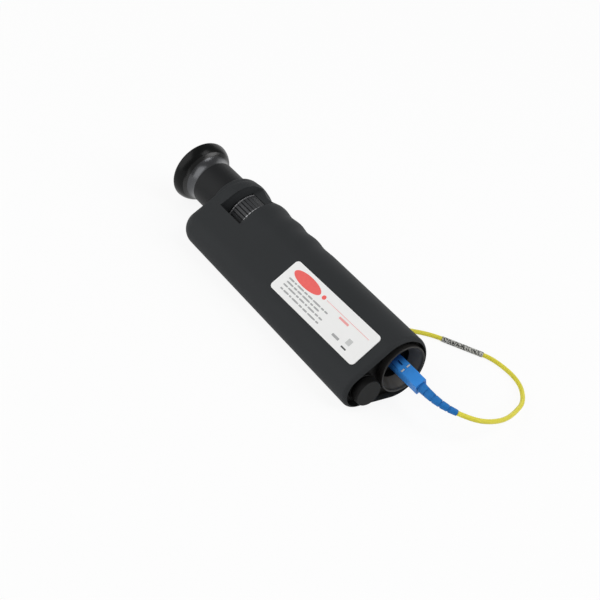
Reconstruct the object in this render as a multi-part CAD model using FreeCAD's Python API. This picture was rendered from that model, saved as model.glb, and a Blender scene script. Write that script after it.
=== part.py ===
import FreeCAD, Part
import math
import os

# Handheld fibre inspection microscope, lying on its flat back with a patch cord plugged in.
# The eyepiece points along -X, the fibre adapter along +X, the cells lie on the -Y side, +Z is up.
# All lengths are in millimetres.

# Housing section: a pear shape, two round lobes joined by a flat back and a flat label face
WIDTH = 56.0
FAR_R = 20.3
NEAR_R = 12.1
FAR_Y = WIDTH / 2 - FAR_R
NEAR_Y = NEAR_R - WIDTH / 2
TILT = 2 * math.atan2(FAR_R - NEAR_R, FAR_Y - NEAR_Y)
LEAN = TILT / 2
WALL = 2.4

# Housing along its length
NOSE_X = -64.2
GRIP_X0 = -52.0
GRIP_X1 = 25.0
END_X = 101.1
SWELL = 0.85
NOSE_FILLET = 11.5
RIM_FILLET = 3.0
SEAT_X = -55.4
HOLLOW_X = -30.0
NEAR_HOLLOW_R = 7.6

# Finger dents: (x, swell of the far lobe) at each crest and hollow, the deep thumb notch first
GRIP = [(GRIP_X0, SWELL), (-38.9, -1.2), (-28.9, 0.7), (-20.2, -0.13), (-12.5, 0.49), (-5.1, -0.29),
        (3.4, 0.36), (11.7, -0.36), (21.0, 0.0), (GRIP_X1, 0.0)]
GRIP_STEPS = 5
SOLE = 1.0

# Tail: a plane that leans back towards the label face, with a recess in it and a plate on the recess's floor
SLANT = 11.0
TAIL_SPARE = 8.0
RIM_WALL = 1.8
PLATE_FLOOR = -7.0
PLATE_TOP = -4.0

# Optical axis
SCOPE = (9.8, 20.8)
BARREL_R = 15.2
LENS_R = 12.5
LENS_RIM_R = 11.0
# Joint of the neck ring and the eyecup
NECK_X = -92.2
NECK_FLARE_R = 18.1
SPIGOT_R = 15.6
FIT = 0.05

# Focus wheel and the window it shows through
WHEEL_R = 15.5
WHEEL_X0 = -47.9
WHEEL_X1 = -34.9
WHEEL_TEETH = 40
TOOTH_DEPTH = 0.5
POCKET_R = 15.9
POCKET_GAP = 0.7
# Window round the optical axis, from +Y; its floor rises out of the housing towards the far side
WINDOW_FROM = 62.0
WINDOW_FULL = 92.0
WINDOW_TO = 182.0
WINDOW_RISE = 4.2
WINDOW_STEP = 6.0
# Near end of the window, across the label face from the middle of it
WINDOW_NEAR = 3.2

# Focusing tube and the carriage that slides in it
GUIDE_R = 9.0
GUIDE_BORE = 7.5
CARRIAGE_R = 7.45
TRAVEL = 1.5
PIN_X = -41.4
PIN_R = 1.2
PIN_ANGLE = 180.0

# Cells and tail cap
CELL_AXIS = (-14.4, 12.4)
CELL_R = 7.2
CELL_LENGTH = 50.4
CELL_X = -19.0
CELL_TUBE_X = -27.5
CELL_TUBE_END = 85.5
CELL_TUBE_R = 8.65
CELL_TUBE_BORE = 7.65
CONTACT_X = CELL_TUBE_X + 1.0
LEAF_THICK = 0.4
LEAF_WIDE = 6.0
# Heights of the cap and its button, counted from the tail plane
CAP_R = 8.2
CAP_SHANK_R = 7.0
CAP_FOOT = -9.5
CAP_TOP = -2.4
SWITCH_TOP = -4.65
BUTTON_R = 7.9
BUTTON_TOP = 3.4
BUTTON_TRAVEL = 0.6

# Housing screws, put in from the back
SCREW_Y = -2.45
SCREW_X = (-24.0, 24.0, 72.0)
BOSS_R = 2.7

# Adapter ring, its lip's height counted from the tail plane
RING_LIFT = 0.6
RING_R = 15.0
RING_SHANK_R = 13.2

# Label field
LABEL_CENTRE = (51.64, 1.98)
LABEL_SIZE = (71.4, 22.2)
LABEL_CORNER = 2.4
LABEL_TURN = 1.03
LABEL_THICK = 0.25

# Patch cord with a square push-pull plug on each end
PLUG_WIDE = 7.4
PLUG_HIGH = 9.0
PLUG_LONG = 24.5
PLUG_BACK_X = 113.7
PLUG_TURN = 32.0
BOOT_R = 3.0
BOOT_TIP_R = 1.75
BOOT_COLLAR = 5.0
BOOT_BEND_R = 26.0
BOOT_BEND = 42.0
BOOT_LONG = BOOT_COLLAR + BOOT_BEND_R * math.radians(BOOT_BEND)
BOOT_DROOP = 10.0
BOOT_RINGS = 4
BOOT_GROOVE = 0.7
BOOT_GROOVE_DEEP = 0.4
BOOT_END_GAP = 0.15
CORD_R = 1.4
SLEEVE_R = 1.75
SLEEVE_LONG = 27.0
LOOSE_PLUG = (-11.5, 42.0, 3.9)

V = FreeCAD.Vector
ALONG = V(1, 0, 0)
# Out of the label face, and across it towards the far side
UP = V(0, -math.sin(TILT), math.cos(TILT))
ACROSS = V(0, math.cos(TILT), math.sin(TILT))
FACE_MIDDLE = (V(0, FAR_Y, FAR_R) + UP * FAR_R + V(0, NEAR_Y, NEAR_R) + UP * NEAR_R) * 0.5


def outline(points, place):
    """Closed wire through the points; a point with a third entry is the middle of an arc."""
    edges = []
    last = points[0]
    via = None
    for point in points[1:] + points[:1]:
        if len(point) == 3:
            via = point
            continue
        if via is None:
            edges.append(Part.LineSegment(place(last), place(point)).toShape())
        else:
            edges.append(Part.Arc(place(last), place(via), place(point)).toShape())
        via = None
        last = point
    return Part.Wire(edges)


def turned(points, axis=SCOPE, start=0.0, sweep=360.0):
    """Solid turned about a line along X from points given as (x, radius)."""
    face = Part.Face(outline(points, lambda p: V(p[0], axis[0] + p[1], axis[1])))
    solid = face.revolve(V(0, axis[0], axis[1]), ALONG, sweep)
    solid.rotate(V(0, axis[0], axis[1]), ALONG, start)
    return solid


def rod(x0, x1, radius, axis=SCOPE):
    return Part.makeCylinder(radius, x1 - x0, V(x0, axis[0], axis[1]), ALONG)


def tube(x0, x1, outer, inner, axis=SCOPE):
    return turned([(x0, inner), (x0, outer), (x1, outer), (x1, inner)], axis)


def pear(x, inset=0.0, swell=0.0, sole=0.0):
    """The housing's section at x, drawn in by the inset, its far lobe swollen, on a sole below the back."""
    far_r = FAR_R + swell * math.sin(LEAN) - inset
    far = V(x, FAR_Y + swell * math.cos(LEAN), FAR_R + swell * math.sin(LEAN))
    near_r = NEAR_R - inset
    near = V(x, NEAR_Y, NEAR_R)
    down = V(0, 0, -1)
    out = V(0, math.cos(LEAN), math.sin(LEAN))
    heel = near + down * near_r
    toe = far + down * far_r
    if sole:
        drop = down * sole
        edges = [Part.LineSegment(heel, heel + drop), Part.LineSegment(heel + drop, toe + drop),
                 Part.LineSegment(toe + drop, toe)]
    else:
        edges = [Part.LineSegment(heel, toe)]
    edges += [Part.Arc(toe, far + out * far_r, far + UP * far_r),
              Part.LineSegment(far + UP * far_r, near + UP * near_r),
              Part.Arc(near + UP * near_r, near - out * near_r, heel)]
    return Part.Wire([edge.toShape() for edge in edges])


def prism(x0, x1, inset=0.0):
    return Part.Face(pear(x0, inset)).extrude(V(x1 - x0, 0, 0))


def edges_at(shape, x):
    return [e for e in shape.Edges if e.BoundBox.XMin > x - 0.01 and e.BoundBox.XMax < x + 0.01]


def tail_x(axis):
    """Where a line along X meets the slanted tail plane."""
    return END_X - math.tan(math.radians(SLANT)) * V(0, axis[0], axis[1]).dot(UP)


def leaning(shape, x, axis):
    """Turned to stand square on the slanted tail, about a point on a line along X."""
    shape.rotate(V(x, axis[0], axis[1]), ACROSS, -SLANT)
    return shape


def beyond(height):
    """All that lies farther out than a height above the tail plane."""
    space = Part.makeBox(60.0, 200.0, 200.0, V(END_X + height, -100.0, -100.0))
    space.rotate(V(END_X, 0, 0), ACROSS, -SLANT)
    return space


CAP_X = tail_x(CELL_AXIS)
RING_X = tail_x(SCOPE) + RING_LIFT / math.cos(math.radians(SLANT))


# Housing
def grip_sections():
    """Pear sections from crest to hollow, eased between them."""
    sections = []
    for (x0, swell0), (x1, swell1) in zip(GRIP, GRIP[1:]):
        for step in range(GRIP_STEPS):
            t = step / GRIP_STEPS
            ease = (1 - math.cos(math.pi * t)) / 2
            sections.append(pear(x0 + (x1 - x0) * t, 0.0, swell0 + (swell1 - swell0) * ease, SOLE))
    sections.append(pear(GRIP_X1, 0.0, 0.0, SOLE))
    return sections


def housing_form():
    """The outer form: rounded nose, finger dents down the far lobe, straight rear, eyepiece collar."""
    nose = Part.Face(pear(NOSE_X, 0.0, SWELL)).extrude(V(GRIP_X0 - NOSE_X, 0, 0))
    nose = nose.makeFillet(NOSE_FILLET, edges_at(nose, NOSE_X))
    grip = Part.makeLoft(grip_sections(), True, True)
    rear = prism(GRIP_X1, END_X + TAIL_SPARE).cut(beyond(0.0))
    end = max(rear.Faces, key=lambda face: face.CenterOfMass.x)
    rear = rear.makeFillet(RIM_FILLET, end.Edges)
    collar = turned([(-64.4, 0.0), (-64.4, 15.5), (-61.8, 17.9, "arc"), (-56.3, 19.15), (-50.0, 19.15),
                     (-45.4, 18.4, "arc"), (-41.0, 16.4), (-41.0, 0.0)])
    under = Part.makeBox(300.0, 120.0, 2 * SOLE, V(-150.0, -60.0, -2 * SOLE))
    return nose.fuse([grip, rear, collar]).cut(under)


def focus_window():
    """Wheel pocket, and the window from it through the label face with a sloping front."""
    x0 = WHEEL_X0 - POCKET_GAP
    x1 = WHEEL_X1 + POCKET_GAP
    sections = []
    steps = round((WINDOW_TO - WINDOW_FROM) / WINDOW_STEP)
    for step in range(steps + 1):
        angle = WINDOW_FROM + (WINDOW_TO - WINDOW_FROM) * step / steps
        fade = max(0.0, (WINDOW_FULL - angle) / (WINDOW_FULL - WINDOW_FROM))
        r = POCKET_R - 0.2 + WINDOW_RISE * fade ** 2
        points = [(x0, r), (x0 - 0.5, r + 1.9), (x0 - 1.4, r + 4.4), (x0 - 2.0, r + 10.0),
                  (x1 + 5.0, r + 10.0), (x1 + 2.6, r + 4.4), (x1, r)]
        out = V(0, math.cos(math.radians(angle)), math.sin(math.radians(angle)))
        sections.append(outline(points, lambda p: V(p[0], SCOPE[0], SCOPE[1]) + out * p[1]))
    kept = Part.makeBox(200.0, 100.0, 120.0, V(-150.0, WINDOW_NEAR, -80.0))
    kept.rotate(V(0, 0, 0), ALONG, math.degrees(TILT))
    window = Part.makeLoft(sections, True, True).common(kept.translated(FACE_MIDDLE))
    return rod(x0, x1, POCKET_R).fuse(window)


def housing_shell():
    form = housing_form()
    hollow = prism(HOLLOW_X, END_X + TAIL_SPARE, WALL).cut(beyond(PLATE_FLOOR + 0.5))
    near_hollow = rod(NOSE_X + 10.0, HOLLOW_X + 0.5, NEAR_HOLLOW_R, CELL_AXIS)
    recess = prism(HOLLOW_X, END_X + TAIL_SPARE, RIM_WALL).common(beyond(PLATE_FLOOR))
    barrel_seat = rod(NOSE_X - 3.0, SEAT_X, BARREL_R + FIT)
    guide_way = rod(SEAT_X - 1.0, HOLLOW_X + 0.5, GUIDE_R + 0.5)
    shell = form.cut(hollow).cut(near_hollow).cut(recess)
    bosses = [Part.makeCylinder(BOSS_R, 40.0, V(x, SCREW_Y, 0)) for x in SCREW_X]
    posts = [boss.common(form) for boss in bosses]
    shell = shell.fuse(posts).cut(barrel_seat).cut(guide_way).cut(focus_window())
    for x in SCREW_X:
        head_room = Part.makeCylinder(2.3, 3.0, V(x, SCREW_Y, 0))
        hole = Part.makeCylinder(1.3, 26.0, V(x, SCREW_Y, 0))
        shell = shell.cut(head_room).cut(hole)
    return shell.removeSplitter()


def housing_half(shell, above):
    """One half of the shell, parted on the plane through both lobe centres."""
    depth = 80.0
    block = Part.makeBox(260.0, 160.0, depth, V(-130.0, -80.0, 0.0 if above else -depth))
    block.rotate(V(0, 0, 0), ALONG, math.degrees(LEAN))
    block.translate(V(0, FAR_Y, FAR_R))
    return shell.common(block)


def housing_screws():
    screws = []
    for x in SCREW_X:
        head = Part.makeCylinder(2.1, 1.8, V(x, SCREW_Y, 1.2))
        cross = Part.makeBox(2.6, 0.6, 0.7, V(x - 1.3, SCREW_Y - 0.3, 1.2))
        other = Part.makeBox(0.6, 2.6, 0.7, V(x - 0.3, SCREW_Y - 1.3, 1.2))
        shank = Part.makeCylinder(1.25, 21.0, V(x, SCREW_Y, 3.0))
        screws.append(head.fuse(shank).cut(cross).cut(other))
    return Part.makeCompound(screws)


def end_plate():
    plate = prism(HOLLOW_X, END_X + TAIL_SPARE, RIM_WALL + FIT)
    plate = plate.common(beyond(PLATE_FLOOR)).cut(beyond(PLATE_TOP))
    ring_hole = leaning(rod(RING_X - 15.0, RING_X, RING_SHANK_R + FIT), RING_X, SCOPE)
    cap_hole = leaning(rod(CAP_X - 15.0, CAP_X, CAP_SHANK_R + 0.42, CELL_AXIS), CAP_X, CELL_AXIS)
    return plate.cut(ring_hole).cut(cap_hole)


def label_plate():
    """Rounded plate laid on the tilted face."""
    half_u = LABEL_SIZE[0] / 2
    half_v = LABEL_SIZE[1] / 2
    plate = Part.makeBox(LABEL_SIZE[0], LABEL_SIZE[1], LABEL_THICK, V(-half_u, -half_v, 0))
    corners = [e for e in plate.Edges if e.BoundBox.ZLength > LABEL_THICK / 2]
    plate = plate.makeFillet(LABEL_CORNER, corners)
    plate.rotate(V(0, 0, 0), V(0, 0, 1), LABEL_TURN)
    plate.rotate(V(0, 0, 0), ALONG, math.degrees(TILT))
    plate.translate(FACE_MIDDLE + ACROSS * LABEL_CENTRE[1] + ALONG * LABEL_CENTRE[0])
    return plate


# Eyepiece
def eyecup():
    """Bell of rubber with a rolled rim, its spigot let into the neck ring."""
    return turned([(-90.3, 11.6), (-90.3, SPIGOT_R), (NECK_X, SPIGOT_R), (NECK_X, NECK_FLARE_R),
                   (-94.6, 19.7, "arc"), (-98.0, 20.75), (-99.4, 20.45, "arc"),
                   (-100.0, 19.85), (-99.7, 19.25, "arc"), (-98.6, 18.75), (-94.4, 16.3, "arc"),
                   (-92.2, 11.6)])


def neck_ring():
    """Flared ring between the barrel and the eyecup."""
    return turned([(-84.0, 12.55), (-84.0, 14.6), (-88.3, 14.8, "arc"), (NECK_X, NECK_FLARE_R),
                   (NECK_X, SPIGOT_R + FIT), (-90.3, SPIGOT_R + FIT), (-90.3, 10.8),
                   (-87.2, 10.8), (-87.2, 12.55)])


def eyepiece_barrel():
    return turned([(-84.0, LENS_R + FIT), (-84.0, BARREL_R - 0.3), (-83.7, BARREL_R), (-55.6, BARREL_R),
                   (-55.6, LENS_R + FIT)])


def bulge(edge_x, edge_r, tip_x):
    """Middle of the arc from a lens edge to its tip, round a centre on the optical axis."""
    sag = tip_x - edge_x
    radius = (edge_r ** 2 + sag ** 2) / (2 * sag)
    half = math.asin(edge_r / abs(radius)) / 2
    return (tip_x - radius * (1 - math.cos(half)), abs(radius) * math.sin(half), "arc")


def eye_lens():
    return turned([(-87.2, 0.0), (-87.2, LENS_R), (-85.2, LENS_R), (-85.2, LENS_RIM_R),
                   bulge(-85.2, LENS_RIM_R, -82.8), (-82.8, 0.0)])


def lens_spacer():
    return tube(-85.2, -66.6, LENS_R, 11.2)


def field_lens():
    return turned([(-69.0, 0.0), bulge(-66.6, LENS_RIM_R, -69.0), (-66.6, LENS_RIM_R), (-66.6, LENS_R),
                   (-64.5, LENS_R), (-64.5, 0.0)])


def lens_retainer():
    return tube(-64.5, -62.0, LENS_R, 10.4)


def safety_filter():
    return rod(-62.0, -60.0, LENS_R)


# Focus train
def focus_wheel():
    """Toothed wheel running on the guide tube, with a groove inside for the drive pin."""
    edge = 0.5
    half_groove = PIN_R + TRAVEL + 0.5
    groove_r = 11.6
    bore = GUIDE_R + FIT
    wheel = turned([(WHEEL_X0, bore), (WHEEL_X0, WHEEL_R - edge), (WHEEL_X0 + edge, WHEEL_R),
                    (WHEEL_X1 - edge, WHEEL_R), (WHEEL_X1, WHEEL_R - edge), (WHEEL_X1, bore),
                    (PIN_X + half_groove, bore), (PIN_X + half_groove, groove_r),
                    (PIN_X - half_groove, groove_r), (PIN_X - half_groove, bore)])
    root = WHEEL_R - TOOTH_DEPTH
    notch = Part.makePolygon([V(WHEEL_X0 + edge, SCOPE[0] + root, SCOPE[1]),
                              V(WHEEL_X0 + edge, SCOPE[0] + root + 1.0, SCOPE[1] - 0.9),
                              V(WHEEL_X0 + edge, SCOPE[0] + root + 1.0, SCOPE[1] + 0.9),
                              V(WHEEL_X0 + edge, SCOPE[0] + root, SCOPE[1])])
    groove = Part.Face(notch).extrude(V(WHEEL_X1 - WHEEL_X0 - 2 * edge, 0, 0))
    cutters = []
    for tooth in range(WHEEL_TEETH):
        cutter = groove.copy()
        cutter.rotate(V(0, SCOPE[0], SCOPE[1]), ALONG, tooth * 360.0 / WHEEL_TEETH)
        cutters.append(cutter)
    return wheel.cut(cutters)


def pin_slot(length, width):
    """Slot along X through the guide tube's wall, on the drive pin's side."""
    slot = Part.makeBox(length, width, 20.0, V(PIN_X - length / 2, -width / 2, 0))
    slot.rotate(V(0, 0, 0), ALONG, PIN_ANGLE - 90.0)
    slot.translate(V(0, SCOPE[0], SCOPE[1]))
    return slot


def guide_tube():
    body = turned([(-60.0, 8.4), (-60.0, LENS_R), (-57.0, LENS_R), (-57.0, GUIDE_R), (81.0, GUIDE_R),
                   (81.0, 14.0), (84.0, 14.0), (84.0, 8.4), (80.0, GUIDE_BORE), (-56.0, GUIDE_BORE)])
    return body.cut(pin_slot(2 * (PIN_R + TRAVEL + 0.5), 2 * (PIN_R + 0.4)))


def objective_carriage():
    body = tube(-46.0, 74.0, CARRIAGE_R, 6.0)
    return body.cut(rod_radial(5.0, 9.0, PIN_R + FIT))


def rod_radial(r0, r1, radius):
    """Rod standing out from the optical axis at the drive pin's place."""
    angle = math.radians(PIN_ANGLE)
    out = V(0, math.cos(angle), math.sin(angle))
    return Part.makeCylinder(radius, r1 - r0, V(PIN_X, SCOPE[0], SCOPE[1]) + out * r0, out)


def drive_pin():
    return rod_radial(6.1, 10.8, PIN_R)


def objective_cell():
    return turned([(74.0, 3.6), (74.0, 7.0), (80.0, 7.0), (80.0, 4.6), (76.0, 4.6), (76.0, 3.6)])


def objective_lens():
    return turned([(76.0, 0.0), (76.0, 4.55), (78.4, 4.55), bulge(78.4, 4.55, 79.4), (79.4, 0.0)])


# Adapter end
def led_board():
    return tube(84.0, 85.2, 14.0, 4.2)


def led_places():
    return [(SCOPE[0] + 8.0 * side, SCOPE[1]) for side in (-1, 1)]


def lamps():
    bulbs = []
    for place in led_places():
        points = [(85.2, 0.0), (85.2, 1.5), (86.4, 1.5), bulge(86.4, 1.5, 87.3), (87.3, 0.0)]
        bulbs.append(turned(points, place))
    return Part.makeCompound(bulbs)


def adapter_body():
    body = turned([(85.2, 1.3), (85.2, 14.0), (88.2, 14.0), (88.2, 2.3), (94.2, 2.3), (94.2, 1.3)])
    for place in led_places():
        body = body.cut(rod(85.2, 87.7, 1.7, place))
    return body


def adapter_ring():
    """Ring with a wide funnel round the plug, standing square on the end plate."""
    lip = RING_X
    seat = RING_X + PLATE_TOP - RING_LIFT
    foot = RING_X - 8.4
    ring = turned([(foot, 10.4), (lip - 0.4, 13.8), (lip, 14.2), (lip, 14.5), (lip - 0.2, 14.85, "arc"),
                   (lip - 0.6, RING_R), (seat, RING_R), (seat, RING_SHANK_R), (foot, RING_SHANK_R)])
    return leaning(ring, RING_X, SCOPE)


# Power
def battery_tube():
    return turned([(CELL_TUBE_X, 0.0), (CELL_TUBE_X, CELL_TUBE_R), (CELL_TUBE_END, CELL_TUBE_R),
                   (CELL_TUBE_END, CELL_TUBE_BORE), (CONTACT_X, CELL_TUBE_BORE), (CONTACT_X, 0.0)], CELL_AXIS)


def cell(x0):
    shoulder = x0 + CELL_LENGTH - 1.4
    return turned([(x0, 0.0), (x0, CELL_R - 0.5), (x0 + 0.5, CELL_R), (shoulder - 0.5, CELL_R),
                   (shoulder, CELL_R - 0.5), (shoulder, 2.7), (x0 + CELL_LENGTH, 2.7),
                   (x0 + CELL_LENGTH, 0.0)], CELL_AXIS)


def contact_plate():
    return rod(CONTACT_X, CONTACT_X + 0.5, 6.8, CELL_AXIS)


def contact_spring():
    """Folded leaf between the front contact plate and the first cell, its folds given as (x, y)."""
    foot = CONTACT_X + 0.5 + LEAF_THICK / 2
    folds = [(foot, -4.0), (foot, 4.0), (foot + 3.2, -3.6), (CELL_X - 0.3, 3.4)]
    blades = []
    for (x0, y0), (x1, y1) in zip(folds, folds[1:]):
        length = math.hypot(x1 - x0, y1 - y0)
        blade = Part.makeBox(length, LEAF_THICK, LEAF_WIDE, V(0, -LEAF_THICK / 2, -LEAF_WIDE / 2))
        blade.rotate(V(0, 0, 0), V(0, 0, 1), math.degrees(math.atan2(y1 - y0, x1 - x0)))
        blades.append(blade.translated(V(x0, CELL_AXIS[0] + y0, CELL_AXIS[1])))
    return blades[0].fuse(blades[1:])


def battery_cap():
    """Turning tail cap, hollow for the switch, with a hole for the button's stem."""
    seat = CAP_X + PLATE_TOP + 0.35
    top = CAP_X + CAP_TOP
    floor = CAP_X + SWITCH_TOP + 0.05
    foot = CAP_X + CAP_FOOT
    cap = turned([(foot, 6.0), (foot, CAP_SHANK_R), (seat, CAP_SHANK_R), (seat, CAP_R), (top - 0.3, CAP_R),
                  (top, CAP_R - 0.3), (top, 1.9), (floor, 1.9), (floor, 6.0)], CELL_AXIS)
    return leaning(cap, CAP_X, CELL_AXIS)


def tail_switch():
    """Switch held in the cap, its contact reaching the rear cell."""
    tip = CAP_X - 14.5
    body = CAP_X - 9.2
    top = CAP_X + SWITCH_TOP
    switch = turned([(tip, 0.0), (tip, 3.0), (body, 3.0), (body, 5.95), (top, 5.95), (top, 0.0)], CELL_AXIS)
    return leaning(switch, CAP_X, CELL_AXIS)


def power_button():
    """Push button with a stem that reaches the switch."""
    top = CAP_X + BUTTON_TOP
    under = CAP_X + CAP_TOP + BUTTON_TRAVEL + 0.3
    foot = CAP_X + SWITCH_TOP + BUTTON_TRAVEL + 0.1
    button = turned([(foot, 0.0), (foot, 1.5), (under, 1.5), (under, BUTTON_R), (top - 0.4, BUTTON_R),
                     (top, BUTTON_R - 0.4), (top, 0.0)], CELL_AXIS)
    return leaning(button, CAP_X, CELL_AXIS)


# Patch cord plugs, drawn with the grip's back at x = 0 and the ferrule towards -X
def block(x0, x1, wide, high):
    return Part.makeBox(x1 - x0, wide, high, V(x0, -wide / 2, -high / 2))


def plug_grip():
    grip = block(-PLUG_LONG, 0.0, PLUG_WIDE, PLUG_HIGH)
    long_edges = [e for e in grip.Edges if e.BoundBox.XLength > PLUG_LONG / 2]
    grip = grip.makeFillet(0.7, long_edges)
    key = block(-PLUG_LONG + 4.0, -PLUG_LONG + 12.0, 2.0, 1.6).translated(V(0, 0, -PLUG_HIGH / 2))
    grip = grip.fuse(key)
    grip = grip.cut(block(-PLUG_LONG - 1.0, -4.0, 5.8, 7.2))
    for side in (-1, 1):
        window = block(-12.7, -11.6, 2.5, 4.0).translated(V(0, side * 2.0, PLUG_HIGH / 2))
        grip = grip.cut(window)
    slot = block(-18.5, -14.6, 1.0, 1.2).translated(V(0, 0, PLUG_HIGH / 2))
    return grip.cut(slot)


def plug_inner():
    front = -PLUG_LONG - 0.4
    inner = block(front, -4.1, 5.7, 7.1)
    for side in (-1, 1):
        ridge = block(-12.55, -11.75, 2.2, 1.2).translated(V(0, side * 2.0, 4.0))
        inner = inner.fuse(ridge)
    inner = inner.cut(Part.makeCylinder(2.45, 5.9, V(front, 0, 0), ALONG))
    return inner.cut(Part.makeCylinder(1.3, 13.0, V(front, 0, 0), ALONG))


def plug_ferrule():
    return Part.makeCylinder(1.25, 15.8, V(-PLUG_LONG - 3.4, 0, 0), ALONG)


def grooved_boot(place, long):
    """A collar on the plug's back, then grooved rings that get thinner towards the cord."""
    pitch = (long - BOOT_COLLAR) / BOOT_RINGS
    marks = [0.0] + [BOOT_COLLAR + pitch * ring for ring in range(BOOT_RINGS + 1)]
    pieces = []
    for start, end in zip(marks, marks[1:]):
        big = BOOT_R + (BOOT_TIP_R - BOOT_R) * start / long
        small = BOOT_R + (BOOT_TIP_R - BOOT_R) * end / long
        heading = place((start + end) / 2)[1]
        solid_end = end - (BOOT_GROOVE if end < marks[-1] else BOOT_END_GAP)
        pieces.append(Part.makeCone(big, small, solid_end - start, place(start)[0], heading))
        if end < marks[-1]:
            neck, heading = place(solid_end - BOOT_GROOVE)
            pieces.append(Part.makeCylinder(small - BOOT_GROOVE_DEEP, 3 * BOOT_GROOVE, neck, heading))
    return pieces[0].fuse(pieces[1:])


def swept(path, radius, start, heading):
    ring = Part.Wire(Part.makeCircle(radius, start, heading))
    return path.makePipeShell([ring], True, True)


def bent_place(s):
    """Point and heading at distance s along the bent boot, from the plug's back."""
    back = V(PLUG_BACK_X, SCOPE[0], SCOPE[1])
    droop = math.radians(BOOT_DROOP)
    aside = V(0, math.cos(droop), -math.sin(droop))
    turn = max(0.0, s - BOOT_COLLAR) / BOOT_BEND_R
    ahead = min(s, BOOT_COLLAR) + BOOT_BEND_R * math.sin(turn)
    point = back + ALONG * ahead + aside * (BOOT_BEND_R * (1 - math.cos(turn)))
    return point, ALONG * math.cos(turn) + aside * math.sin(turn)


def plug_boot():
    return grooved_boot(bent_place, BOOT_LONG)


def loose_boot():
    back = V(LOOSE_PLUG[0], LOOSE_PLUG[1], LOOSE_PLUG[2])
    return grooved_boot(lambda s: (back + ALONG * s, ALONG), BOOT_LONG)


def cord_points():
    start, heading = bent_place(BOOT_LONG)
    end = V(LOOSE_PLUG[0] + BOOT_LONG, LOOSE_PLUG[1], LOOSE_PLUG[2])
    return [start, start + heading * 8.6, V(147.0, 33.2, 15.8), V(148.2, 49.8, 11.3), V(145.4, 65.9, 7.5),
            V(140.2, 84.2, 4.0), V(125.8, 99.0, 1.75), V(105.4, 98.1, 1.75), V(71.3, 72.9, 1.75),
            V(59.4, 56.2, 1.5), V(43.0, 43.6, 1.6), V(23.0, 42.0, 3.7), end]


def rounded_path(points):
    """Straight runs joined by arcs that touch both runs."""
    edges = []
    start = points[0]
    for before, corner, after in zip(points, points[1:], points[2:]):
        cut = 0.45 * min((corner - before).Length, (after - corner).Length)
        into = (corner - before).normalize()
        out = (after - corner).normalize()
        half = into.getAngle(out) / 2
        radius = cut / math.tan(half)
        inwards = (out - into).normalize()
        middle = corner + inwards * (radius / math.cos(half) - radius)
        edges.append(Part.LineSegment(start, corner - into * cut).toShape())
        edges.append(Part.Arc(corner - into * cut, middle, corner + out * cut).toShape())
        start = corner + out * cut
        print("cord bend radius", round(radius, 1))
    edges.append(Part.LineSegment(start, points[-1]).toShape())
    return Part.Wire(edges)


def cord():
    points = cord_points()
    path = rounded_path(points)
    solid = swept(path, CORD_R, points[0], points[1] - points[0])
    print("cord length", round(path.Length, 1))
    print("cord volume share", round(solid.Volume / (math.pi * CORD_R ** 2 * path.Length), 4))
    return solid


def marker_sleeve():
    """Printed sleeve on the cord's long straight run."""
    points = cord_points()
    heading = (points[8] - points[7]).normalize()
    start = (points[7] + points[8]) * 0.5 - heading * (SLEEVE_LONG / 2)
    outer = Part.makeCylinder(SLEEVE_R, SLEEVE_LONG, start, heading)
    return outer.cut(Part.makeCylinder(CORD_R + FIT, SLEEVE_LONG, start, heading))


def dust_cap():
    """Closed cap pushed over the loose plug's ferrule."""
    cap = Part.makeCylinder(2.3, 13.2, V(-PLUG_LONG - 9.0, 0, 0), ALONG)
    return cap.cut(Part.makeCylinder(1.3, 12.0, V(-PLUG_LONG - 3.6, 0, 0), ALONG))


def plugged(shape):
    """Turned to lie square with the label face and pushed into the adapter."""
    shape.rotate(V(0, 0, 0), ALONG, PLUG_TURN)
    return shape.translated(V(PLUG_BACK_X, SCOPE[0], SCOPE[1]))


def loose(shape):
    """Laid down flat behind the housing."""
    shape.rotate(V(0, 0, 0), ALONG, 90.0)
    return shape.translated(V(LOOSE_PLUG[0], LOOSE_PLUG[1], LOOSE_PLUG[2]))


SHELL = housing_shell()
NODES = {
    "housing_front": housing_half(SHELL, True),
    "housing_back": housing_half(SHELL, False),
    "housing_screws": housing_screws(),
    "end_plate": end_plate(),
    "label_plate": label_plate(),
    "eyecup": eyecup(),
    "neck_ring": neck_ring(),
    "eyepiece_barrel": eyepiece_barrel(),
    "eye_lens": eye_lens(),
    "lens_spacer": lens_spacer(),
    "field_lens": field_lens(),
    "lens_retainer": lens_retainer(),
    "safety_filter": safety_filter(),
    "focus_wheel": focus_wheel(),
    "guide_tube": guide_tube(),
    "objective_carriage": objective_carriage(),
    "drive_pin": drive_pin(),
    "objective_cell": objective_cell(),
    "objective_lens": objective_lens(),
    "led_board": led_board(),
    "lamps": lamps(),
    "adapter_body": adapter_body(),
    "adapter_ring": adapter_ring(),
    "battery_tube": battery_tube(),
    "front_cell": cell(CELL_X),
    "rear_cell": cell(CELL_X + CELL_LENGTH),
    "contact_plate": contact_plate(),
    "contact_spring": contact_spring(),
    "battery_cap": battery_cap(),
    "tail_switch": tail_switch(),
    "power_button": power_button(),
    "plug_grip": plugged(plug_grip()),
    "plug_inner": plugged(plug_inner()),
    "plug_ferrule": plugged(plug_ferrule()),
    "plug_boot": plug_boot(),
    "cord": cord(),
    "marker_sleeve": marker_sleeve(),
    "loose_grip": loose(plug_grip()),
    "loose_inner": loose(plug_inner()),
    "loose_ferrule": loose(plug_ferrule()),
    "loose_boot": loose_boot(),
    "dust_cap": loose(dust_cap()),
}

os.makedirs("parts", exist_ok=True)
for name, shape in NODES.items():
    shape.exportStep("parts/" + name + ".step")
    box = shape.BoundBox
    print(name, shape.isValid(), len(shape.Solids), round(shape.Volume, 1),
          [round(v, 2) for v in (box.XMin, box.XMax, box.YMin, box.YMax, box.ZMin, box.ZMax)])
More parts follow.
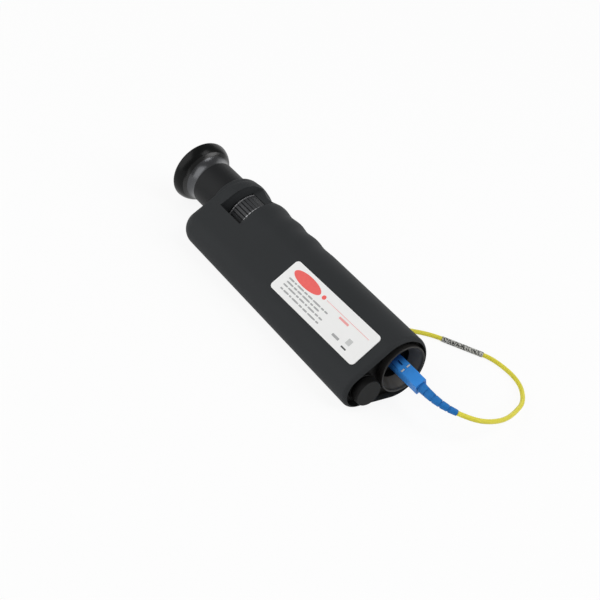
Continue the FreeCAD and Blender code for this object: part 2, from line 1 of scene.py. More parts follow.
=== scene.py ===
# %% [markdown]
# # Fiber inspection microscope
# A handheld microscope for looking at the end of an optical fiber. It lies on its flat back, with the
# plug of a short yellow patch cord pushed into its adapter. The solid model comes in as a fixed frame:
# every piece is already in its place, in metres, with +X from the eyepiece to the adapter and +Z up. This
# script gives the pieces their materials, adds the cord's smooth jacket and the label's print, and sets
# light and camera.

# %% Frame
import math

import bpy
from mathutils import Matrix, Vector


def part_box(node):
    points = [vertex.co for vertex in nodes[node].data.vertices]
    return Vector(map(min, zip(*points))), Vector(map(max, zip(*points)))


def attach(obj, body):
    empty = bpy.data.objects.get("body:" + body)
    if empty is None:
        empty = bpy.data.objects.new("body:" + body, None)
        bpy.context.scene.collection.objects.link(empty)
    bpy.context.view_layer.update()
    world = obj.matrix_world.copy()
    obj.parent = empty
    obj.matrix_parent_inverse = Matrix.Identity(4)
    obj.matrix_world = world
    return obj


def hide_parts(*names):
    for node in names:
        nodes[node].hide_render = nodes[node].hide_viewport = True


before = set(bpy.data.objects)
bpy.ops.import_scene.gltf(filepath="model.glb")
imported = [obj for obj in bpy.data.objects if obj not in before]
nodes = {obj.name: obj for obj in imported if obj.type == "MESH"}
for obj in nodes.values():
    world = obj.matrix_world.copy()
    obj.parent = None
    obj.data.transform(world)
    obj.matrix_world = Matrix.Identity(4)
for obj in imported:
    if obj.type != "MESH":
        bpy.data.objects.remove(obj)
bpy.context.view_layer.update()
MM = 0.001
BODY = "microscope"

# %% [markdown]
# ## Camera
# The camera is described the way a photographer would: where it looks, from which side and height, how
# far away, and how much it is rolled. A pasted matrix would do the same, but building the camera's three
# axes from those angles keeps each value readable.

# %% Camera
AZIMUTH = math.radians(37.851)
ELEVATION = math.radians(36.069)
ROLL = math.radians(20.695)
TARGET = Vector((28.88, -6.917, 18.0)) * MM
DISTANCE = 515.628 * MM
SENSOR_MM = 36
LENS_MM = 54

level = Vector((math.cos(AZIMUTH), math.sin(AZIMUTH), 0))
ahead = Vector((-math.sin(AZIMUTH), math.cos(AZIMUTH), 0))
back = Vector((0, 0, math.sin(ELEVATION))) - ahead * math.cos(ELEVATION)
upright = back.cross(level)
right = level * math.cos(ROLL) + upright * math.sin(ROLL)
up = upright * math.cos(ROLL) - level * math.sin(ROLL)
turned = Matrix((right, up, back)).transposed().to_4x4()

bpy.ops.object.select_all(action="DESELECT")
bpy.ops.object.camera_add()
camera = bpy.context.object
camera.name = "camera"
camera.matrix_world = Matrix.Translation(TARGET + back * DISTANCE) @ turned
camera.data.sensor_width = SENSOR_MM
camera.data.lens = LENS_MM
bpy.context.scene.camera = camera
print("camera at", [round(v, 3) for v in camera.matrix_world.translation])

# %% [markdown]
# ## Small helpers
# Colours are written as the sRGB hex codes a picker shows, and one function turns them to the linear
# values that shaders use. Another adds a node with its settings and links, so that each material below
# reads as a short list of nodes. The last ones open a material for more nodes, turn millimetres to a
# texture's scale, and put a material on pieces of the solid model.

# %% Helpers
def linear(code):
    """An sRGB hex code as opaque linear RGBA."""
    channels = [int(code[i:i + 2], 16) / 255 for i in (1, 3, 5)]
    return [c / 12.92 if c <= 0.04045 else ((c + 0.055) / 1.055) ** 2.4 for c in channels] + [1.0]


def add_node(tree, kind, settings=None, links=None):
    """Add a node; settings fill its sockets or options, links join its sockets to other outputs."""
    node = tree.nodes.new(kind)
    for name, value in (settings or {}).items():
        if isinstance(name, int) or name in node.inputs:
            node.inputs[name].default_value = value
        else:
            setattr(node, name, value)
    for name, source in (links or {}).items():
        tree.links.new(source, node.inputs[name])
    return node


def opened(material):
    """A material's node tree and its Principled surface."""
    return material.node_tree, material.node_tree.nodes["Principled BSDF"]


def per_metre(size_mm):
    """Texture scale that makes one feature this many millimetres wide."""
    return 1 / (size_mm * MM)


def dress(material, *names):
    """Give nodes of the solid model a material."""
    for name in names:
        nodes[name].data.materials.clear()
        nodes[name].data.materials.append(material)
    print(material.name, "on", ", ".join(names))


print("the middle sRGB grey is", round(linear("#808080")[0], 3), "in linear light")

# %% [markdown]
# ## Floor
# The object lies on white studio paper. Lit by lamps alone, the paper would need so much light that the
# label clips, so most of what the camera and mirrors see of it is its own white glow. The matt rest still
# takes the light, and with it the object's soft shadow.

# %% Floor
FLOOR_SIZE = 12.0
FLOOR_GLOW = 0.9
bpy.ops.object.select_all(action="DESELECT")
bpy.ops.mesh.primitive_plane_add(size=FLOOR_SIZE, location=(0, 0, 0))
floor = bpy.context.object
floor.name = "floor"
paper = bpy.data.materials.new("white_studio_paper")
paper.use_nodes = True
tree = paper.node_tree
tree.nodes.clear()
path = add_node(tree, "ShaderNodeLightPath")
mirrored = add_node(tree, "ShaderNodeMath", {"operation": "MAXIMUM"},
                    {0: path.outputs["Is Glossy Ray"], 1: path.outputs["Is Transmission Ray"]})
seen = add_node(tree, "ShaderNodeMath", {"operation": "MAXIMUM"},
                {0: path.outputs["Is Camera Ray"], 1: mirrored.outputs[0]})
share = add_node(tree, "ShaderNodeMath", {"operation": "MULTIPLY", 1: FLOOR_GLOW}, {0: seen.outputs[0]})
matte = add_node(tree, "ShaderNodeBsdfDiffuse", {"Color": linear("#F4F4F4")})
glow = add_node(tree, "ShaderNodeEmission", {"Color": linear("#FFFFFF"), "Strength": 1.0})
both = add_node(tree, "ShaderNodeMixShader", {},
                {0: share.outputs[0], 1: matte.outputs[0], 2: glow.outputs[0]})
add_node(tree, "ShaderNodeOutputMaterial", {}, {"Surface": both.outputs[0]})
floor.data.materials.append(paper)
print("floor", FLOOR_SIZE, "m square")

# %% [markdown]
# ## Light
# A dim even tent fills the shadows, and four soft panels do most of the work: a large one on the near
# side, and smaller ones on the far side, past the tail and overhead. A bright tent alone would be simpler,
# but black gloss would mirror it all over and look grey. Under a dim one it stays black, with highlights
# only where it mirrors a panel or the floor.

# %% World and lamps
TENT_STRENGTH = 0.3
world = bpy.data.worlds.new("dim_white_tent")
bpy.context.scene.world = world
world.use_nodes = True
tree = world.node_tree
tree.nodes.clear()
tent = add_node(tree, "ShaderNodeBackground", {"Color": linear("#FFFFFF"), "Strength": TENT_STRENGTH})
add_node(tree, "ShaderNodeOutputWorld", {}, {"Surface": tent.outputs[0]})


def panel(name, place, size, power):
    """A soft square light panel turned towards the object; metres and watts."""
    bpy.ops.object.select_all(action="DESELECT")
    bpy.ops.object.light_add(type="AREA", location=place)
    lamp = bpy.context.object
    lamp.name = name
    lamp.data.shape = "SQUARE"
    lamp.data.size = size
    lamp.data.energy = power
    lamp.rotation_euler = (TARGET - Vector(place)).to_track_quat("-Z", "Y").to_euler()
    print(name, "at", place, "power", power)


panel("near_panel", (-0.6, -1.15, 0.7), size=1.7, power=16.5)
panel("far_panel", (-0.7, 1.2, 0.4), size=1.0, power=3)
panel("tail_panel", (1.0, 0.9, 0.9), size=0.9, power=8)
panel("top_panel", (0.5, 0.3, 1.35), size=0.55, power=4)
bpy.context.scene.view_settings.view_transform = "Standard"

# %% [markdown]
# ## A moulded or coated skin
# Most pieces here are moulded plastic, rubber or coated metal. Three things keep such a skin from looking
# like flat paint: slow clouds in its tone, a gloss that drifts with them, and a fine grain left by the
# mould or the spray. They could be painted as images, but noise in the piece's own coordinates stays sharp
# at any distance. One helper lays the three down, and each finish below gives it real sizes in
# millimetres.

# %% Skin helper
GRAIN_DEPTH = 0.05 * MM


def skin(name, dark, pale, cloud_mm, gloss, grain_mm=None, relief=0.0, **settings):
    """Material with clouds between two tones, a roughness that drifts with them, and a fine grain."""
    material = bpy.data.materials.new(name)
    material.use_nodes = True
    tree, surface = opened(material)
    for socket, value in settings.items():
        surface.inputs[socket.replace("_", " ")].default_value = value
    where = add_node(tree, "ShaderNodeTexCoord")
    cloud = add_node(tree, "ShaderNodeTexNoise", {"Scale": per_metre(cloud_mm), "Detail": 3.0},
                     {"Vector": where.outputs["Object"]})
    tone = add_node(tree, "ShaderNodeMix", {"data_type": "RGBA", 6: linear(dark), 7: linear(pale)},
                    {0: cloud.outputs[0]})
    shine = add_node(tree, "ShaderNodeMapRange", {"To Min": gloss[0], "To Max": gloss[1]},
                     {"Value": cloud.outputs[0]})
    tree.links.new(tone.outputs[2], surface.inputs["Base Color"])
    tree.links.new(shine.outputs[0], surface.inputs["Roughness"])
    if grain_mm:
        grain = add_node(tree, "ShaderNodeTexNoise", {"Scale": per_metre(grain_mm), "Detail": 2.0},
                         {"Vector": where.outputs["Object"]})
        bump = add_node(tree, "ShaderNodeBump", {"Strength": relief, "Distance": GRAIN_DEPTH},
                        {"Height": grain.outputs[0]})
        tree.links.new(bump.outputs[0], surface.inputs["Normal"])
    return material

# %% [markdown]
# ## Wear, painted light and shade, and where they are
# Bare edges, print, a dark lip and painted light and shade all show a second colour in one region. A
# painted mask could say where, but a distance in the piece's own coordinates is exact and moves with the
# piece. So there are helpers for how far a point is along an axis or off it, and one that lays a second
# colour over the first.

# %% Wear and painted light helpers
def along_axis(tree, centre, axis):
    """Socket with how far a point lies from a centre, measured along an axis."""
    where = add_node(tree, "ShaderNodeTexCoord")
    arm = add_node(tree, "ShaderNodeVectorMath", {"operation": "SUBTRACT", 1: centre},
                   {0: where.outputs["Object"]})
    reach = add_node(tree, "ShaderNodeVectorMath", {"operation": "DOT_PRODUCT", 1: axis},
                     {0: arm.outputs[0]})
    return reach.outputs["Value"]


def off_axis(tree, centre, axis):
    """Socket with how far a point lies away from an axis through a centre."""
    where = add_node(tree, "ShaderNodeTexCoord")
    arm = add_node(tree, "ShaderNodeVectorMath", {"operation": "SUBTRACT", 1: centre},
                   {0: where.outputs["Object"]})
    reach = add_node(tree, "ShaderNodeVectorMath", {"operation": "PROJECT", 1: axis}, {0: arm.outputs[0]})
    spoke = add_node(tree, "ShaderNodeVectorMath", {"operation": "SUBTRACT"},
                     {0: arm.outputs[0], 1: reach.outputs[0]})
    radius = add_node(tree, "ShaderNodeVectorMath", {"operation": "LENGTH"}, {0: spoke.outputs[0]})
    return radius.outputs["Value"]


def overlay(material, mask, code):
    """Show another colour over the surface's own tone where a mask is 1."""
    tree, surface = opened(material)
    tone = surface.inputs["Base Color"].links[0].from_socket
    layers = add_node(tree, "ShaderNodeMix", {"data_type": "RGBA", 7: linear(code)}, {0: mask, 6: tone})
    tree.links.new(layers.outputs[2], surface.inputs["Base Color"])


def middle(name):
    """Middle of a node's box."""
    low, high = (Vector(corner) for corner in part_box(name))
    return (low + high) / 2

# %% [markdown]
# ## Housing: soft-touch coating
# The two shells are moulded ABS under a soft-touch paint, charcoal and fully matt. A velvet shader would
# give it a pale rim that the real paint lacks, so it is a rough plastic with its mirror share turned far
# down.

# %% Soft-touch coating
# Soft-touch paint scatters light on tiny beads, so the eye sees an even charcoal with almost no highlight.
# Its grain is about a tenth of a millimetre; it is drawn at four times that, so that it shows at all.
soft_touch = skin("sprayed_soft_touch_paint", "#292B2C", "#303234", cloud_mm=45, gloss=(0.6, 0.72),
                  grain_mm=0.4, relief=0.08, Specular_IOR_Level=0.16)
dress(soft_touch, "housing_front", "housing_back")

# %% [markdown]
# ## Tail end: black ABS
# The end plate and the cap lie in the recess and are jet black. The adapter ring's lip and outside are a
# dark charcoal, and its funnel is painted a paler charcoal as painted light, where light falls in round the
# plug. One tone for all would lose that step. The ring and the button stand square on the slanted tail, so
# their masks are measured from the tail's own normal.

# %% Tail plane
SLANT = math.radians(11.0)
TILT = math.radians(38.32)
along = Vector((1, 0, 0))
lift = Vector((0, -math.sin(TILT), math.cos(TILT)))
tail_normal = along * math.cos(SLANT) + lift * math.sin(SLANT)
print("tail faces", [round(v, 3) for v in tail_normal])

# %% Black ABS
# Spark-eroded moulds leave a fine even grain on ABS, so it shows a broad dull sheen.
jet_abs = skin("moulded_jet_black_abs", "#060606", "#0A0A0A", cloud_mm=20, gloss=(0.45, 0.55),
               grain_mm=0.6, relief=0.1, Specular_IOR_Level=0.12)
dress(jet_abs, "end_plate", "battery_cap", "tail_switch", "battery_tube")

# %% Adapter ring
# The same grain on charcoal ABS. Its pale tone in the funnel is painted light; its lip and its outside are
# a dark charcoal.
LIP_RADIUS = 13.8 * MM
LIP_BLEND = 0.4 * MM
charcoal_abs = skin("charcoal_abs_with_painted_light", "#57544F", "#625F5A", cloud_mm=16, gloss=(0.42, 0.55),
                    grain_mm=0.6, relief=0.1, Specular_IOR_Level=0.3)
tree = charcoal_abs.node_tree
# Painted light: the pale tone shows in the funnel; past the lip's radius the dark charcoal covers it.
lip = add_node(tree, "ShaderNodeMapRange", {"From Min": LIP_RADIUS - LIP_BLEND, "From Max": LIP_RADIUS},
               {"Value": off_axis(tree, middle("adapter_ring"), tail_normal)})
overlay(charcoal_abs, lip.outputs[0], "#2C2B2A")
dress(charcoal_abs, "adapter_ring")

# %% Power button
# Moulded silicone rubber is matt. The button's side is near black, darker than its face.
FACE_BAND = 0.3 * MM
button_rubber = skin("moulded_silicone_rubber", "#1A1B1B", "#202121", cloud_mm=10, gloss=(0.6, 0.72),
                     grain_mm=0.5, relief=0.08, Specular_IOR_Level=0.2)
tree = button_rubber.node_tree
face_height = max(vertex.co.dot(tail_normal) for vertex in nodes["power_button"].data.vertices)
side = add_node(tree, "ShaderNodeMapRange",
                {"From Min": -FACE_BAND, "From Max": -FACE_BAND / 3, "To Min": 1.0, "To Max": 0.0},
                {"Value": along_axis(tree, tail_normal * face_height, tail_normal)})
overlay(button_rubber, side.outputs[0], "#070707")
dress(button_rubber, "power_button")

# %% [markdown]
# ## Eyepiece: anodised aluminium and rubber
# The barrel is turned aluminium, bead blasted and anodised black, so it is satin. The neck ring is bright
# from the lathe under its thin black anodising and mirrors the studio, and the eyecup is smooth black
# rubber. All three could share one black, but the eye tells them apart by their gloss alone, so each has
# its own.

# %% Barrel
# Bead blasting leaves pits of about 0.1 mm, which break the gloss to satin; they are drawn at three times
# that.
blasted = skin("blasted_black_anodised_aluminium", "#1C1D1E", "#232425", cloud_mm=18, gloss=(0.45, 0.55),
               grain_mm=0.3, relief=0.06, Specular_IOR_Level=0.12)
dress(blasted, "eyepiece_barrel", "lens_spacer", "lens_retainer", "objective_cell", "adapter_body")

# %% Neck ring
# Anodising tints the metal's mirror dark. The lathe's rings run round the axis; they are far finer on the
# real ring and are drawn about 3 mm apart, as a faint ripple in the reflections.
RING_PITCH = 3.14 * MM
RING_DEPTH = 0.02 * MM
BANDS_PER_UNIT = 20 / math.tau
lathe_black = skin("turned_black_anodised_aluminium", "#4C4D4F", "#5A5B5D", cloud_mm=12,
                   gloss=(0.24, 0.32))
tree, surface = opened(lathe_black)
where = add_node(tree, "ShaderNodeTexCoord")
rings = add_node(tree, "ShaderNodeTexWave", {"wave_type": "BANDS", "bands_direction": "X",
                                             "Scale": 1 / (RING_PITCH * BANDS_PER_UNIT)},
                 {"Vector": where.outputs["Object"]})
lathe = add_node(tree, "ShaderNodeBump", {"Strength": 0.05, "Distance": RING_DEPTH},
                 {"Height": rings.outputs["Fac"]})
tree.links.new(lathe.outputs[0], surface.inputs["Normal"])
dress(lathe_black, "neck_ring")

# %% Bonded end of the neck ring
# The last stretch of the flare, where the rubber is bonded on, is left dull black and hardly mirrors.
BOND = 1.6 * MM
BOND_END = 1.2 * BOND
METAL_SHARE = 0.85
from_end = along_axis(tree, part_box("neck_ring")[0], along)
dull = add_node(tree, "ShaderNodeMapRange",
                {"From Min": BOND, "From Max": BOND_END, "To Min": 1.0, "To Max": 0.0}, {"Value": from_end})
metal = add_node(tree, "ShaderNodeMapRange",
                 {"From Min": BOND, "From Max": BOND_END, "To Max": METAL_SHARE}, {"Value": from_end})
overlay(lathe_black, dull.outputs[0], "#0C0D0D")
tree.links.new(metal.outputs[0], surface.inputs["Metallic"])
print("bonded end", round(BOND / MM, 2), "mm long")

# %% Eyecup
# Rubber from a polished mould is smooth, so its black flare shows soft, clear highlights.
cup_rubber = skin("moulded_black_rubber", "#0A0B0B", "#0F1010", cloud_mm=8, gloss=(0.22, 0.3),
                  grain_mm=0.8, relief=0.04, Specular_IOR_Level=0.15)
dress(cup_rubber, "eyecup")

# %% [markdown]
# ## Focus wheel: worn edges
# The wheel is the same anodised aluminium, but thumbs have rubbed the anodising off its two chamfers,
# where bare metal shines, and have dulled the crests of its ridges. The wear could be drawn on a UV map;
# distances along the wheel's axis and off it are simpler, and they stay put when the wheel turns.

# %% Focus wheel
# Worn anodising shows bright lines at both edges and grey crests between black grooves.
WORN_BAND = 1.3 * MM
CREST = 0.4 * MM
worn = skin("worn_black_anodised_aluminium", "#141516", "#1B1C1D", cloud_mm=6, gloss=(0.35, 0.5),
            grain_mm=0.3, relief=0.06, Specular_IOR_Level=0.3)
tree, surface = opened(worn)
low, high = (Vector(corner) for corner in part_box("focus_wheel"))
half_wheel = (high.x - low.x) / 2
wheel_radius = (high.z - low.z) / 2
crest = add_node(tree, "ShaderNodeMapRange", {"From Min": wheel_radius - CREST, "From Max": wheel_radius},
                 {"Value": off_axis(tree, middle("focus_wheel"), along)})
from_middle = add_node(tree, "ShaderNodeMath", {"operation": "ABSOLUTE"},
                       {0: along_axis(tree, middle("focus_wheel"), along)})
bare = add_node(tree, "ShaderNodeMapRange",
                {"From Min": half_wheel - WORN_BAND, "From Max": half_wheel - WORN_BAND / 4},
                {"Value": from_middle.outputs[0]})
overlay(worn, crest.outputs[0], "#37383A")
overlay(worn, bare.outputs[0], "#CFCFD1")
tree.links.new(bare.outputs[0], surface.inputs["Metallic"])
dress(worn, "focus_wheel")

# %% [markdown]
# ## Glass
# Lenses and the safety filter are polished glass. A plain glass shader would do, but a real lens is
# coated, and the coating's tint drifts over it with its thickness. So the skin helper gives the glass
# clouds and no grain.

# %% Glass
# Polished glass is clear, with a faint green in the lenses and a stronger one in the safety filter.
GLASS_IOR = 1.52
lens_glass = skin("coated_optical_glass", "#DCEDE8", "#F0F7F4", cloud_mm=8, gloss=(0.01, 0.04),
                  IOR=GLASS_IOR, Transmission_Weight=1.0)
dress(lens_glass, "eye_lens", "field_lens", "objective_lens")
filter_glass = skin("tinted_filter_glass", "#93C8B8", "#A6D6C8", cloud_mm=8, gloss=(0.01, 0.04),
                    IOR=GLASS_IOR, Transmission_Weight=1.0)
dress(filter_glass, "safety_filter")

# %% [markdown]
# ## Metal and electrical pieces
# Tubes of the focus train are turned aluminium, screws and contacts are zinc plated steel, the lamp board
# is green solder mask, and the cells wear a grey shrink sleeve. Most are hidden inside the housing, so
# each gets its true colour and gloss from the skin helper and no nodes of its own.

# %% Inner pieces
# A fine lathe finish gives bare aluminium a soft, bright sheen.
aluminium = skin("turned_aluminium", "#B6B8BB", "#C6C8CB", cloud_mm=6, gloss=(0.28, 0.4),
                 grain_mm=0.5, relief=0.06, Metallic=1.0)
dress(aluminium, "guide_tube", "objective_carriage")
# Zinc plating is pale and bright, with a faint mottle of about a millimetre and a half.
steel = skin("zinc_plated_steel", "#BDBEC1", "#D2D3D5", cloud_mm=1.5, gloss=(0.22, 0.4),
             grain_mm=0.4, relief=0.05, Metallic=1.0)
dress(steel, "housing_screws", "drive_pin", "contact_plate", "contact_spring")
# Solder mask is a glossy green lacquer, a little uneven over the glass weave under it.
solder_mask = skin("printed_green_solder_mask", "#1A6034", "#247540", cloud_mm=3, gloss=(0.25, 0.38),
                   grain_mm=0.8, relief=0.1)
dress(solder_mask, "led_board")
# Shrunk film is glossy, with slight waves where it drew tight.
cell_sleeve = skin("shrunk_pvc_sleeve", "#66686B", "#75777A", cloud_mm=10, gloss=(0.25, 0.4),
                   grain_mm=1.2, relief=0.06)
dress(cell_sleeve, "front_cell", "rear_cell")

# %% [markdown]
# ## Plug: moulded polymer
# The plug's grip and boot are blue moulded plastic with a satin skin, the inner housing is white, and the
# ferrule is polished ceramic. A translucent dust cap sits on the loose plug. The grip is a little
# translucent too. Real light scattered inside it would be slow to render, so painted shade stands in: a
# measure of how shut in a point is darkens its blue.

# %% Plug grip
# PBT from a lightly textured mould is satin, with faint flow clouds from the gate. Where other pieces
# close round it, and in its slot, its blue is darkened as painted shade.
SHADE_REACH = 9 * MM
CLOSED_IN = 0.35
OPEN_AIR = 0.85
blue_pbt = skin("moulded_blue_pbt_with_painted_shade", "#3286DA", "#3E93E6", cloud_mm=5, gloss=(0.4, 0.5),
                grain_mm=0.4, relief=0.05, Specular_IOR_Level=0.15)
tree = blue_pbt.node_tree
around = add_node(tree, "ShaderNodeAmbientOcclusion", {"Distance": SHADE_REACH})
# Painted shade: where the occlusion measure finds the point shut in, the blue is darkened.
painted_shade = add_node(tree, "ShaderNodeMapRange",
                  {"From Min": CLOSED_IN, "From Max": OPEN_AIR, "To Min": 1.0, "To Max": 0.0},
                  {"Value": around.outputs["AO"]})
overlay(blue_pbt, painted_shade.outputs[0], "#103A7C")
dress(blue_pbt, "plug_grip", "loose_grip")

# %% Boots, inner housings, cap and ferrules
# The boot is a softer blue elastomer, a little darker and duller than the grip.
blue_boot = skin("moulded_blue_elastomer", "#226CB2", "#2A79C0", cloud_mm=4, gloss=(0.42, 0.55),
                 grain_mm=0.4, relief=0.06, Specular_IOR_Level=0.15)
dress(blue_boot, "plug_boot", "loose_boot")
# White PBT is satin and a touch blue.
white_pbt = skin("moulded_white_pbt", "#C6CBD0", "#D5DADE", cloud_mm=5, gloss=(0.36, 0.48),
                 grain_mm=0.4, relief=0.05)
dress(white_pbt, "plug_inner", "loose_inner", "lamps")
# Polyethylene is milky: light enters it and comes out nearby.
cap_film = skin("moulded_clear_polyethylene", "#D5D9DA", "#E6E9EA", cloud_mm=4, gloss=(0.3, 0.45),
                grain_mm=0.6, relief=0.06, Subsurface_Weight=0.3)
dress(cap_film, "dust_cap")
# Ground and polished zirconia is warm white with a hard gloss.
zirconia = skin("polished_zirconia", "#EBE8DF", "#F5F3EC", cloud_mm=2, gloss=(0.08, 0.16))
dress(zirconia, "plug_ferrule", "loose_ferrule")

# %% [markdown]
# ## Cord
# The jacket is a smooth yellow tube, about three millimetres thick. It leaves the boot level, sinks to the
# floor, sweeps round and passes behind the housing to its second plug. It could be a chain of straight
# tubes and arcs, but that looks like bent wire. A NURBS curve takes the route's points as control points,
# which keeps the bends soft, and a round bevel gives it its thickness.

# %% Cord
# Extruded PVC is smooth, so its yellow is clean, with one soft highlight along each bend.
CORD_DIAMETER = 2.8 * MM
ROUTE = [(136.1, 16.38, 19.64), (142.49, 22.05, 18.64), (147.0, 33.2, 15.8), (148.2, 49.8, 11.3),
         (145.4, 65.9, 7.5), (140.2, 84.2, 4.0), (125.8, 99.0, 1.75), (105.4, 98.1, 1.75),
         (94.03, 89.7, 1.75), (82.67, 81.3, 1.75), (71.3, 72.9, 1.75), (59.4, 56.2, 1.5),
         (43.0, 43.6, 1.6), (23.0, 42.0, 3.7), (12.56, 42.0, 3.9)]
line = bpy.data.curves.new("yellow_cord", "CURVE")
line.dimensions = "3D"
spline = line.splines.new("NURBS")
spline.points.add(len(ROUTE) - 1)
for point, place in zip(spline.points, ROUTE):
    point.co = (*(Vector(place) * MM), 1)
spline.order_u = 3
spline.use_endpoint_u = True
spline.resolution_u = 12
line.bevel_depth = CORD_DIAMETER / 2
line.bevel_resolution = 5
line.use_fill_caps = True
cord = bpy.data.objects.new("yellow_cord", line)
bpy.context.scene.collection.objects.link(cord)
jacket = skin("extruded_yellow_pvc", "#E0D540", "#EAE150", cloud_mm=8, gloss=(0.36, 0.48),
              grain_mm=0.6, relief=0.05, Specular_IOR_Level=0.2)
line.materials.append(jacket)
print("cord of", len(ROUTE), "points")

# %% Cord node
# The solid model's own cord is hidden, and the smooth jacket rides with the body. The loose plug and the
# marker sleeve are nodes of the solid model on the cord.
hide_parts("cord")
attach(cord, BODY)

# %% [markdown]
# ## Marker sleeve
# A pale film sleeve is shrunk on the cord, with a row of small dark flecks printed along it. Hundreds of
# tiny shapes would be heavy, so a noise, turned along the sleeve and stretched across it, is cut hard at
# one level.

# %% Marker sleeve
# Shrink film is glossy and slightly grey, and its print is dull black.
FLECK_LONG = 0.7
FLECK_HIGH = 1.6
FILM_LEVEL = 0.49
INK_LEVEL = 0.54
sleeve_run = Vector(ROUTE[7]) - Vector(ROUTE[10])
sleeve_turn = math.atan2(sleeve_run.y, sleeve_run.x)
fleck_scale = (per_metre(FLECK_LONG), per_metre(FLECK_HIGH), per_metre(FLECK_HIGH))
sleeve_film = skin("printed_shrink_film", "#B2B2AC", "#C2C2BC", cloud_mm=6, gloss=(0.28, 0.4),
                   grain_mm=1.0, relief=0.04)
tree = sleeve_film.node_tree
where = add_node(tree, "ShaderNodeTexCoord")
turn = add_node(tree, "ShaderNodeMapping", {"vector_type": "TEXTURE", "Rotation": (0, 0, sleeve_turn)},
                {"Vector": where.outputs["Object"]})
squeeze = add_node(tree, "ShaderNodeMapping", {"Scale": fleck_scale}, {"Vector": turn.outputs[0]})
flecks = add_node(tree, "ShaderNodeTexNoise", {"Scale": 1.0, "Detail": 1.0}, {"Vector": squeeze.outputs[0]})
cut = add_node(tree, "ShaderNodeMapRange", {"From Min": FILM_LEVEL, "From Max": INK_LEVEL},
               {"Value": flecks.outputs[0]})
overlay(sleeve_film, cut.outputs[0], "#2E2E2C")
dress(sleeve_film, "marker_sleeve")

# %% [markdown]
# ## Label
# A white film label lies on the tilted face. It is a node of the solid model, so here it only needs its
# finish: an even satin white. Pure white would clip under the near panel, so its code stops short of that.

# %% Label film
# Polyester film is even and satin, with the faintest tooth for the ink.
film = skin("white_polyester_film", "#EEEEED", "#F2F2F1", cloud_mm=12, gloss=(0.4, 0.5),
            grain_mm=0.5, relief=0.02, Specular_IOR_Level=0.2)
dress(film, "label_plate")

# %% [markdown]
# ## Print on the label
# The print is plain fields: an oval, a dot, a rule, and rows of short bars. Each could be a texture, but
# small raised shapes keep crisp edges. Every shape is drawn flat in the label's own coordinates,
# millimetres from its middle, given the thickness of a screen-printed ink layer, and then turned onto the
# label. A real layer is about 0.02 mm; it is three times that here, so that it clears the film.

# %% Label plane
LABEL_TURN = math.radians(1.03)
LABEL_THICK = 0.25 * MM
across = Vector((0, math.cos(TILT), math.sin(TILT)))
row = along * math.cos(LABEL_TURN) + across * math.sin(LABEL_TURN)
column = across * math.cos(LABEL_TURN) - along * math.sin(LABEL_TURN)
label_top = middle("label_plate") + lift * LABEL_THICK / 2
label_plane = Matrix.Translation(label_top) @ Matrix((row, column, lift)).transposed().to_4x4()
print("label plane at", [round(v, 4) for v in label_top])

# %% Inks
def screen_ink(name, dark, pale, mottle_mm):
    """Screen-printed ink: even and satin, with a slight mottle where the mesh let through less."""
    return skin(name, dark, pale, cloud_mm=mottle_mm, gloss=(0.4, 0.5), grain_mm=0.4, relief=0.02)


red_ink = screen_ink("screen_printed_red_ink", "#E8544F", "#F26560", mottle_mm=1.5)
faint_red_ink = screen_ink("screen_printed_pale_red_ink", "#E89A98", "#F0A6A3", mottle_mm=1.5)
grey_ink = screen_ink("screen_printed_grey_ink", "#9A9B9B", "#ADAEAE", mottle_mm=1.0)
pale_ink = screen_ink("screen_printed_pale_grey_ink", "#BFC0BF", "#CBCCCB", mottle_mm=1.0)
black_ink = screen_ink("screen_printed_black_ink", "#383939", "#474848", mottle_mm=1.0)
for ink in (red_ink, faint_red_ink, grey_ink, pale_ink, black_ink):
    print("ink:", ink.name)

# %% Printing helpers
INK_THICK = 0.06 * MM


def raise_ink():
    """In edit mode, draw the selected flat face up to the ink's thickness and close it."""
    bpy.ops.mesh.extrude_region_move(TRANSFORM_OT_translate={"value": (0, 0, INK_THICK)})
    bpy.ops.mesh.select_all(action="SELECT")
    bpy.ops.mesh.normals_make_consistent(inside=False)
    bpy.ops.object.mode_set(mode="OBJECT")


def lay_print(piece, name, ink):
    """Turn a shape from the label's coordinates onto the label, and let it ride with the body."""
    bpy.ops.object.select_all(action="DESELECT")
    piece.select_set(True)
    bpy.context.view_layer.objects.active = piece
    piece.name = name
    piece.matrix_world = label_plane
    bpy.ops.object.transform_apply(location=True, rotation=True, scale=True)
    piece.data.materials.append(ink)
    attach(piece, BODY)
    print(name, len(piece.data.polygons), "faces")

# %% Oval and dot
# Each oval: its name, its place on the label, and its half width and half height.
OVALS = [("printed_oval", (-20.4, 5.3), (11.1, 3.7)), ("printed_dot", (-6.2, 5.5), (1.35, 1.35))]
OVAL_SIDES = 72


def oval(place, half):
    """A filled oval at a place on the label."""
    centre = (place[0] * MM, place[1] * MM, 0)
    bpy.ops.object.select_all(action="DESELECT")
    bpy.ops.mesh.primitive_circle_add(vertices=OVAL_SIDES, radius=MM, fill_type="NGON", location=centre)
    piece = bpy.context.object
    bpy.ops.object.transform_apply(location=True)
    bpy.ops.object.mode_set(mode="EDIT")
    bpy.ops.mesh.select_all(action="SELECT")
    bpy.ops.transform.resize(value=(half[0], half[1], 1), center_override=centre)
    raise_ink()
    return piece


for name, place, half in OVALS:
    lay_print(oval(place, half), name, red_ink)

# %% Rule and fields
# Each field: its name, its place on the label, its width and height, and its ink.
FIELDS = [("printed_rule", (13.8, 5.4), (35.0, 0.28), faint_red_ink),
          ("printed_red_field", (13.0, 3.4), (7.6, 1.3), faint_red_ink),
          ("printed_black_field", (24.6, -7.35), (3.8, 0.9), black_ink),
          ("printed_grey_field", (16.5, -5.9), (5.4, 1.5), grey_ink),
          ("printed_pale_field", (24.5, -2.9), (3.2, 3.6), pale_ink)]
CORNER = 0.3
CORNER_SHARE = 0.45


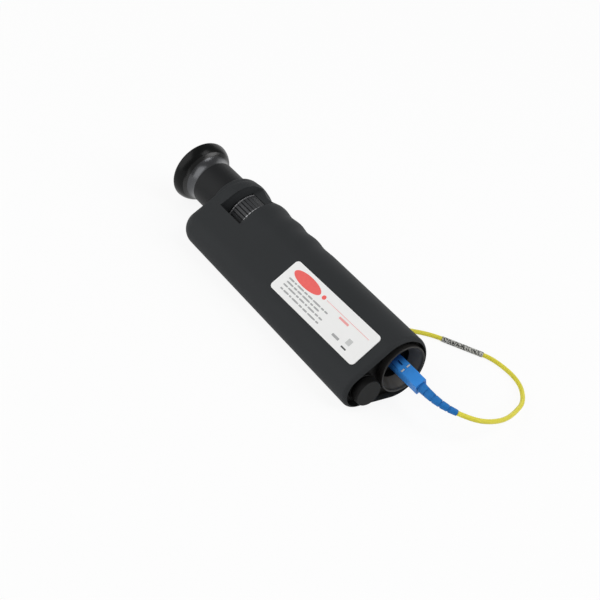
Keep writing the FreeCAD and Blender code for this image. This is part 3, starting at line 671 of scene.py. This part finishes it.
def field(place, size):
    """A bar with rounded corners at a place on the label; on a thin bar they are a share of its height."""
    centre = (place[0] * MM, place[1] * MM, 0)
    bpy.ops.object.select_all(action="DESELECT")
    bpy.ops.mesh.primitive_plane_add(size=MM, location=centre)
    piece = bpy.context.object
    bpy.ops.object.transform_apply(location=True)
    bpy.ops.object.mode_set(mode="EDIT")
    bpy.ops.mesh.select_all(action="SELECT")
    bpy.ops.transform.resize(value=(size[0], size[1], 1), center_override=centre)
    bpy.ops.mesh.bevel(offset=min(CORNER, CORNER_SHARE * size[1]) * MM, segments=3, affect="VERTICES")
    bpy.ops.mesh.select_all(action="SELECT")
    raise_ink()
    return piece


for name, place, size, ink in FIELDS:
    lay_print(field(place, size), name, ink)

# %% [markdown]
# ## Rows of bars
# Four rows of short grey bars fill the lower part of the label. They could be drawn one by one, but a
# pattern of lengths that starts at another bar in each row looks less regular with less work. One bar is
# modelled and copied, each copy with its own mesh; the copies are stretched and joined to one row.

# %% Rows
# Each row: its height on the label, where it starts and where it ends.
ROWS = [(0.1, -30.7, 2.9), (-2.2, -30.0, -1.0), (-4.6, -30.3, 3.5), (-7.35, -29.8, 3.8)]
BAR_LENGTHS = (4.4, 1.7, 5.6, 2.6, 3.6, 6.4, 2.2)
BAR_SHORTEST = 1.0
BAR_HIGH = 1.0
BAR_GAP = 0.65
pattern = field((0, 0), (1.0, BAR_HIGH))
for number, (height, start, end) in enumerate(ROWS):
    bars = []
    place = start
    while place < end - BAR_SHORTEST:
        long = min(BAR_LENGTHS[(len(bars) + 2 * number) % len(BAR_LENGTHS)], end - place)
        bar = pattern.copy()
        bar.data = pattern.data.copy()
        bpy.context.scene.collection.objects.link(bar)
        spot = Matrix.Translation(((place + long / 2) * MM, height * MM, 0))
        bar.data.transform(spot @ Matrix.Diagonal((long, 1, 1, 1)))
        bars.append(bar)
        place += long + BAR_GAP
    bpy.ops.object.select_all(action="DESELECT")
    for bar in bars:
        bar.select_set(True)
    bpy.context.view_layer.objects.active = bars[0]
    bpy.ops.object.join()
    lay_print(bars[0], "printed_row_%d" % (number + 1), grey_ink)
bpy.data.objects.remove(pattern)

# %% [markdown]
# The dressed object must stay inside the solid model's box.
